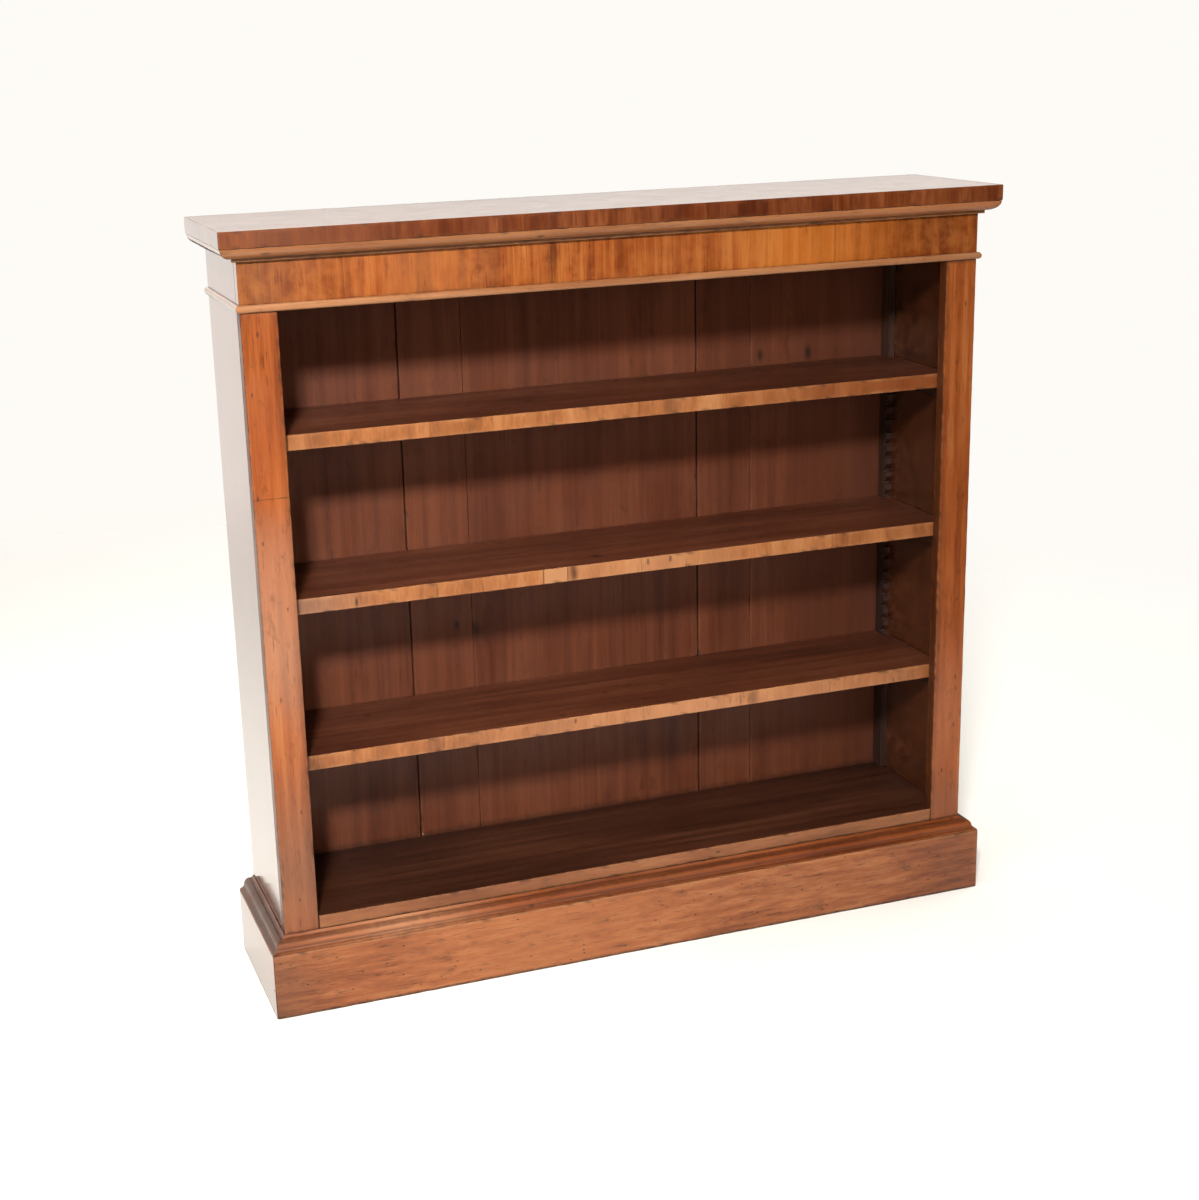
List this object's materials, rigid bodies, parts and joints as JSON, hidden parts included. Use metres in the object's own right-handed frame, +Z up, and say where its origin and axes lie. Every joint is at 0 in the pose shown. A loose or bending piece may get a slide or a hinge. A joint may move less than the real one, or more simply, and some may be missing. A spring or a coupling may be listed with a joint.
{
  "type": "bookcase with adjustable shelves",
  "caption": "Low open bookcase in polished wood with a moulded cornice and plinth and shelves that move up and down on notched corner strips.",
  "frame": {"origin": "on the floor under the middle of the whole bookcase", "axes": "+Z up, -Y out of the open front, +X to the right as seen from the front"},
  "size_m": [1.22, 0.273, 1.182],
  "materials": {
    "polished_wood": "french polish, satin to gloss",
    "crossbanded_veneer": "french polish over cross-grain veneer",
    "moulding_wood": "french polish",
    "shelf_wood": "dark satin polish",
    "back_wood": "stained, dull satin",
    "strip_wood": "stained, dull",
    "plain_softwood": "bare and aged",
    "iron": "dull, slightly rusty"
  },
  "bodies": {
    "carcase": {"back_board_1": "back_wood", "back_board_2": "back_wood", "back_board_3": "back_wood", "back_board_4": "back_wood", "back_board_5": "back_wood", "bead_front": "moulding_wood", "bead_left": "moulding_wood", "bead_right": "moulding_wood", "bottom_bearer_left": "plain_softwood", "bottom_bearer_right": "plain_softwood", "bottom_board": "shelf_wood", "bottom_edge_veneer": "crossbanded_veneer", "bottom_front_rail": "plain_softwood", "carcase_top": "plain_softwood", "cornice_moulding_front": "moulding_wood", "cornice_moulding_left": "moulding_wood", "cornice_moulding_right": "moulding_wood", "frieze_rail": "plain_softwood", "frieze_veneer": "crossbanded_veneer", "glue_block_front_centre": "plain_softwood", "glue_block_front_left": "plain_softwood", "glue_block_front_right": "plain_softwood", "notched_strip_front_left": "strip_wood", "notched_strip_front_right": "strip_wood", "notched_strip_rear_left": "strip_wood", "notched_strip_rear_right": "strip_wood", "plinth_back_rail": "plain_softwood", "plinth_front": "polished_wood", "plinth_left": "polished_wood", "plinth_moulding_front": "moulding_wood", "plinth_moulding_left": "moulding_wood", "plinth_moulding_right": "moulding_wood", "plinth_right": "polished_wood", "side_panel_left": "polished_wood", "side_panel_right": "polished_wood", "stile_left": "polished_wood", "stile_right": "polished_wood", "top_board": "polished_wood", "top_edge_front": "crossbanded_veneer", "top_edge_left": "crossbanded_veneer", "top_edge_right": "crossbanded_veneer", "top_screw_1": "iron", "top_screw_2": "iron", "top_screw_3": "iron", "top_screw_4": "iron"},
    "bottom_shelf": {"shelf_board_bottom": "shelf_wood", "shelf_edge_bottom": "crossbanded_veneer"},
    "middle_shelf": {"shelf_board_middle": "shelf_wood", "shelf_edge_middle": "crossbanded_veneer"},
    "top_shelf": {"shelf_board_top": "shelf_wood", "shelf_edge_top": "crossbanded_veneer"},
    "bottom_shelf_rests": {"shelf_rest_bottom_left": "strip_wood", "shelf_rest_bottom_right": "strip_wood"},
    "middle_shelf_rests": {"shelf_rest_middle_left": "strip_wood", "shelf_rest_middle_right": "strip_wood"},
    "top_shelf_rests": {"shelf_rest_top_left": "strip_wood", "shelf_rest_top_right": "strip_wood"}
  },
  "joints": [
    {"name": "top_shelf_height", "type": "slide", "parent": "carcase", "child": "top_shelf_rests", "axis": [0, 0, 1], "range_m": [-0.1335, 0]},
    {"name": "top_shelf_lift", "type": "slide", "parent": "top_shelf_rests", "child": "top_shelf", "axis": [0, 0, 1], "range_m": [0, 0.015]},
    {"name": "middle_shelf_height", "type": "slide", "parent": "carcase", "child": "middle_shelf_rests", "axis": [0, 0, 1], "range_m": [-0.06675, 0.06675]},
    {"name": "middle_shelf_lift", "type": "slide", "parent": "middle_shelf_rests", "child": "middle_shelf", "axis": [0, 0, 1], "range_m": [0, 0.015]},
    {"name": "bottom_shelf_height", "type": "slide", "parent": "carcase", "child": "bottom_shelf_rests", "axis": [0, 0, 1], "range_m": [0, 0.1335]},
    {"name": "bottom_shelf_lift", "type": "slide", "parent": "bottom_shelf_rests", "child": "bottom_shelf", "axis": [0, 0, 1], "range_m": [0, 0.015]}
  ]
}
